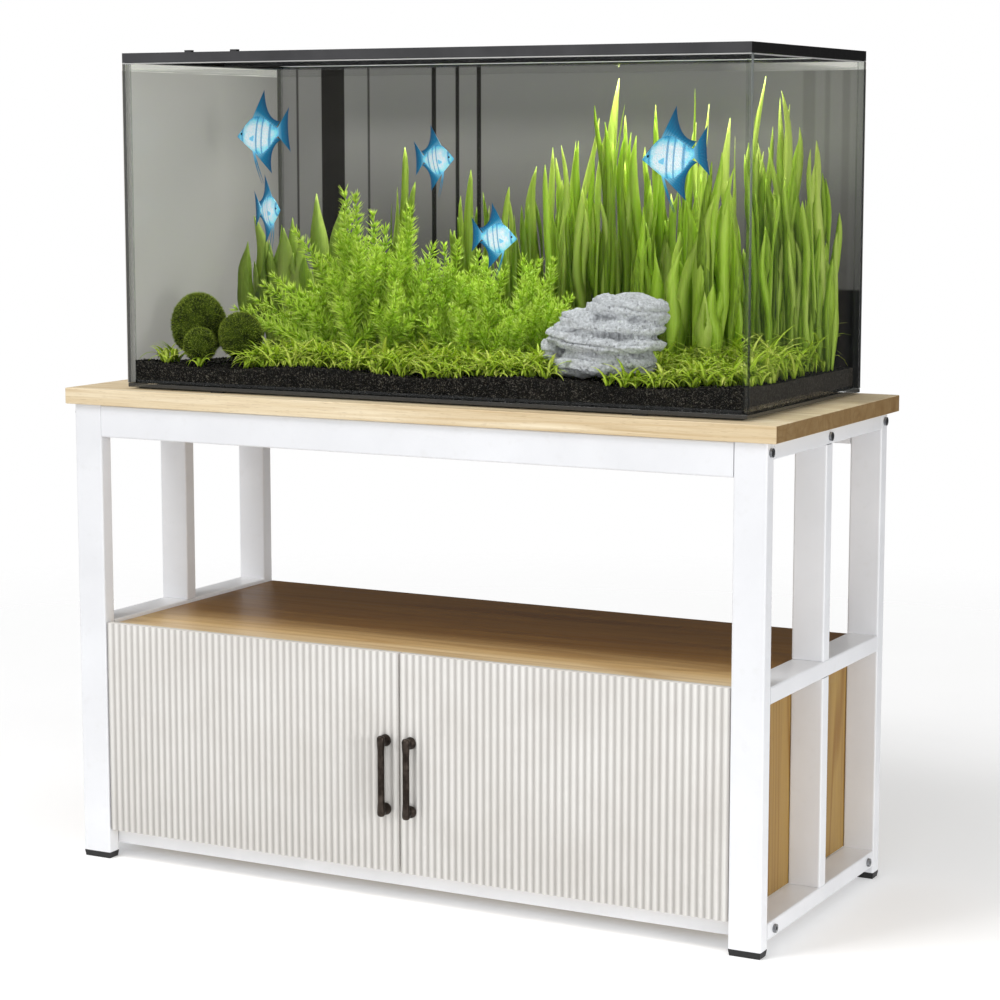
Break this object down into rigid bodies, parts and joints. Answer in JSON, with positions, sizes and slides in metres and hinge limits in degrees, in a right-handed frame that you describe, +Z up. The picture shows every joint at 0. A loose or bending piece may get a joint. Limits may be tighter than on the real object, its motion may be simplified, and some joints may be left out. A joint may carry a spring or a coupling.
{
  "type": "aquarium on stand",
  "caption": "Planted glass aquarium with a hinged flat lid on a steel-framed table stand: oak top, open shelf and a cabinet with fluted doors.",
  "frame": {"origin": "floor level, under the middle of the footprint (table top and handles), front facing -Y", "axes": "+X along the tank towards the right-hand end seen from the front, +Y to the rear, +Z up"},
  "size_m": [1.2, 0.5167, 1.2762],
  "materials": {
    "white_steel": "white powder coat, slightly satin",
    "light_oak": "light oak grain, satin lacquer",
    "door_paint": "off-white paint on fluted board",
    "dark_bronze": "dark bronze, satin",
    "bolt_steel": "zinc-plated",
    "hinge_steel": "nickel-plated",
    "black_rubber": "matt black",
    "foot_plastic": "moulded black end cap",
    "tank_glass": "clear float glass with a faint green edge",
    "lid_plastic": "moulded dark grey",
    "lamp_diffuser": "milky diffuser",
    "black_gravel": "black speckled gravel",
    "grey_rock": "rough grey stone",
    "moss_green": "dense dark green moss",
    "plant_green": "bright green leaves"
  },
  "bodies": {
    "root": {"left_front_leg": "white_steel", "left_rear_leg": "white_steel", "left_top_rail": "white_steel", "left_shelf_rail": "white_steel", "left_bottom_rail": "white_steel", "left_upper_mid_post": "white_steel", "left_lower_mid_post": "white_steel", "left_front_top_bolt": "bolt_steel", "left_middle_top_bolt": "bolt_steel", "left_rear_top_bolt": "bolt_steel", "left_front_bottom_bolt": "bolt_steel", "left_rear_bottom_bolt": "bolt_steel", "left_front_foot": "foot_plastic", "left_rear_foot": "foot_plastic", "right_front_leg": "white_steel", "right_rear_leg": "white_steel", "right_top_rail": "white_steel", "right_shelf_rail": "white_steel", "right_bottom_rail": "white_steel", "right_upper_mid_post": "white_steel", "right_lower_mid_post": "white_steel", "right_front_top_bolt": "bolt_steel", "right_middle_top_bolt": "bolt_steel", "right_rear_top_bolt": "bolt_steel", "right_front_bottom_bolt": "bolt_steel", "right_rear_bottom_bolt": "bolt_steel", "right_front_foot": "foot_plastic", "right_rear_foot": "foot_plastic", "front_top_beam": "white_steel", "rear_top_beam": "white_steel", "middle_top_beam": "white_steel", "front_bottom_beam": "white_steel", "rear_bottom_beam": "white_steel", "table_top": "light_oak", "shelf_board": "light_oak", "bottom_board": "light_oak", "back_panel": "light_oak", "left_side_panel": "light_oak", "right_side_panel": "light_oak", "left_upper_hinge": "hinge_steel", "left_lower_hinge": "hinge_steel", "right_upper_hinge": "hinge_steel", "right_lower_hinge": "hinge_steel", "tank_mat": "black_rubber", "tank_bottom_glass": "tank_glass", "tank_front_glass": "tank_glass", "tank_back_glass": "tank_glass", "tank_left_glass": "tank_glass", "tank_right_glass": "tank_glass", "lid_frame": "lid_plastic", "lamp": "lamp_diffuser", "gravel": "black_gravel", "rock": "grey_rock", "moss_balls": "moss_green", "plants": "plant_green"},
    "left_door": {"left_door": "door_paint", "left_handle": "dark_bronze"},
    "right_door": {"right_door": "door_paint", "right_handle": "dark_bronze"},
    "lid_flap": {"lid_flap": "lid_plastic"}
  },
  "joints": [
    {"name": "left_door_hinge", "type": "hinge", "parent": "root", "child": "left_door", "pos_m": [-0.533, -0.23, 0.216], "axis": [0, 0, -1], "range_deg": [0, 105]},
    {"name": "right_door_hinge", "type": "hinge", "parent": "root", "child": "right_door", "pos_m": [0.533, -0.23, 0.216], "axis": [0, 0, 1], "range_deg": [0, 105]},
    {"name": "lid_flap_hinge", "type": "hinge", "parent": "root", "child": "lid_flap", "pos_m": [0.02, 0.07, 1.273], "axis": [-1, 0, 0], "range_deg": [0, 100]}
  ]
}
